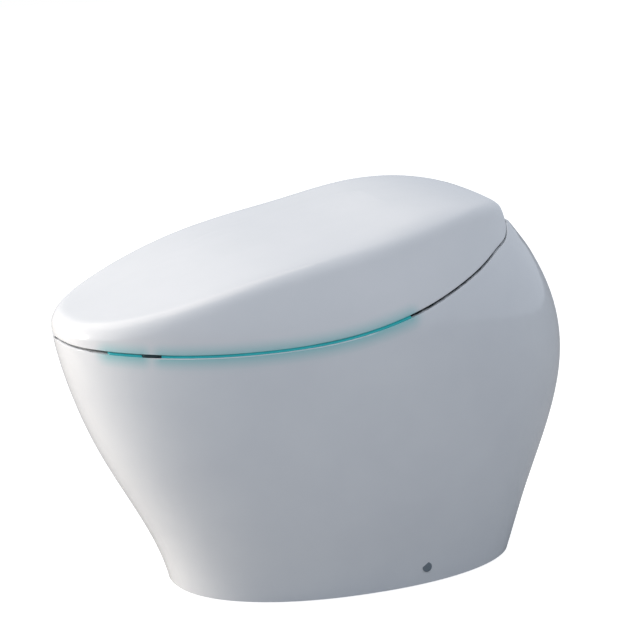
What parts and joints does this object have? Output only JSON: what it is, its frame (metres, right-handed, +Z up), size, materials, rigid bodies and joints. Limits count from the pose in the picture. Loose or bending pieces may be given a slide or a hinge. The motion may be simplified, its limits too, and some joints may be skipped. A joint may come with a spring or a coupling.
{
  "type": "smart toilet",
  "caption": "One-piece smart toilet with an egg-shaped skirted bowl, heated lift-up seat, full-length sloping lid and a bidet wand, dryer and deodoriser inside.",
  "frame": {"origin": "centre of the plan outline at floor level", "axes": "+Z up, +Y towards the wall behind the toilet, -Y the front of the bowl, +X across"},
  "size_m": [0.4342, 0.7969, 0.571],
  "materials": {
    "ceramic": "gloss glazed vitreous china",
    "lid_plastic": "gloss",
    "seat_plastic": "gloss",
    "cover_plastic": "satin",
    "light_guide": "translucent diffuser",
    "dark_rubber": "matt",
    "pale_rubber": "matt",
    "steel": "brushed",
    "zinc_steel": "zinc plated",
    "nylon": "matt",
    "black_plastic": "matt",
    "grey_plastic": "matt",
    "circuit_green": "solder mask",
    "heater_foil": "foil",
    "brass": "machined",
    "carbon": "granular",
    "lens": "polished",
    "indicator": "translucent"
  },
  "bodies": {
    "base": {"ceramic_body": "ceramic", "bowl_basin": "ceramic", "trapway": "ceramic", "rear_cover": "cover_plastic", "light_guides": "light_guide", "hinge_pins": "steel", "hinge_brackets": "zinc_steel", "lid_drive_unit": "black_plastic", "seat_drive_unit": "black_plastic", "unit_base_plate": "cover_plastic", "unit_cover": "cover_plastic", "unit_bolts": "steel", "occupancy_sensor": "lens", "indicator_lens": "indicator", "key_board": "circuit_green", "wand_housing": "cover_plastic", "wand_motor": "black_plastic", "dryer_housing": "grey_plastic", "dryer_motor": "black_plastic", "dryer_heater": "brass", "deodorizer_housing": "grey_plastic", "deodorizer_filter": "carbon", "deodorizer_motor": "black_plastic", "water_heater": "grey_plastic", "booster_tank": "grey_plastic", "flush_pump": "black_plastic", "power_supply": "black_plastic", "circuit_board": "circuit_green", "inlet_valve": "nylon", "water_inlet": "brass", "cable_gland": "black_plastic", "water_hose": "pale_rubber", "flush_jet": "nylon", "floor_brackets": "zinc_steel", "side_screws": "steel", "side_screw_caps": "grey_plastic", "outlet_connector": "grey_plastic", "outlet_seal": "dark_rubber"},
    "seat": {"seat_base": "seat_plastic", "seat_top": "seat_plastic", "seat_heater": "heater_foil", "seat_hinge_arms": "seat_plastic", "seat_temperature_sensor": "black_plastic", "seat_bumpers": "pale_rubber", "seat_hinge_bushes": "nylon"},
    "lid": {"lid_shell": "lid_plastic", "lid_liner": "cover_plastic", "lid_hinge_arms": "black_plastic", "lid_bumpers": "dark_rubber", "lid_hinge_bushes": "nylon"},
    "wand": {"wand_nozzle": "cover_plastic", "wand_tube": "steel", "wand_rack": "nylon"},
    "pinion": {"wand_pinion": "nylon"},
    "dryer_fan": {"dryer_fan_wheel": "nylon"},
    "flap": {"dryer_flap": "cover_plastic"},
    "deodorizer_fan": {"deodorizer_fan_wheel": "nylon"},
    "power_key": {"power_button": "grey_plastic"},
    "flush_key": {"flush_button": "grey_plastic"}
  },
  "joints": [
    {"name": "seat_hinge", "type": "hinge", "parent": "base", "child": "seat", "pos_m": [0, 0.239, 0.536], "axis": [1, 0, 0], "range_deg": [-100, 0]},
    {"name": "lid_hinge", "type": "hinge", "parent": "seat", "child": "lid", "pos_m": [0, 0.239, 0.536], "axis": [-1, 0, 0], "range_deg": [0, 100]},
    {"name": "wand_slide", "type": "slide", "parent": "base", "child": "wand", "axis": [0, -0.848, -0.5299], "range_m": [0, 0.11]},
    {"name": "wand_pinion_spin", "type": "hinge", "parent": "base", "child": "pinion", "pos_m": [0.019, 0.07774, 0.39384], "axis": [0, -0.5299, 0.848], "range_deg": [0, 790]},
    {"name": "dryer_fan_spin", "type": "hinge", "parent": "base", "child": "dryer_fan", "pos_m": [-0.05, 0.15, 0.43], "axis": [1, 0, 0], "continuous": true},
    {"name": "dryer_flap_hinge", "type": "hinge", "parent": "base", "child": "flap", "pos_m": [-0.05, 0.05026, 0.38952], "axis": [-1, 0, 0], "range_deg": [0, 60], "stiffness_Nm_per_rad": 0.002, "springref_deg": -11.46},
    {"name": "deodorizer_fan_spin", "type": "hinge", "parent": "base", "child": "deodorizer_fan", "pos_m": [0.05, 0.14, 0.406], "axis": [0, 0, 1], "continuous": true},
    {"name": "power_button_press", "type": "slide", "parent": "base", "child": "power_key", "axis": [0, 0.5675, -0.8234], "range_m": [0, 0.003], "stiffness_N_per_m": 300, "springref_m": -0.002},
    {"name": "flush_button_press", "type": "slide", "parent": "base", "child": "flush_key", "axis": [0, 0.5675, -0.8234], "range_m": [0, 0.003], "stiffness_N_per_m": 300, "springref_m": -0.002}
  ],
  "couplings": [
    {"joint": "wand_pinion_spin", "follows": "wand_slide", "rad_per_m": 125}
  ]
}
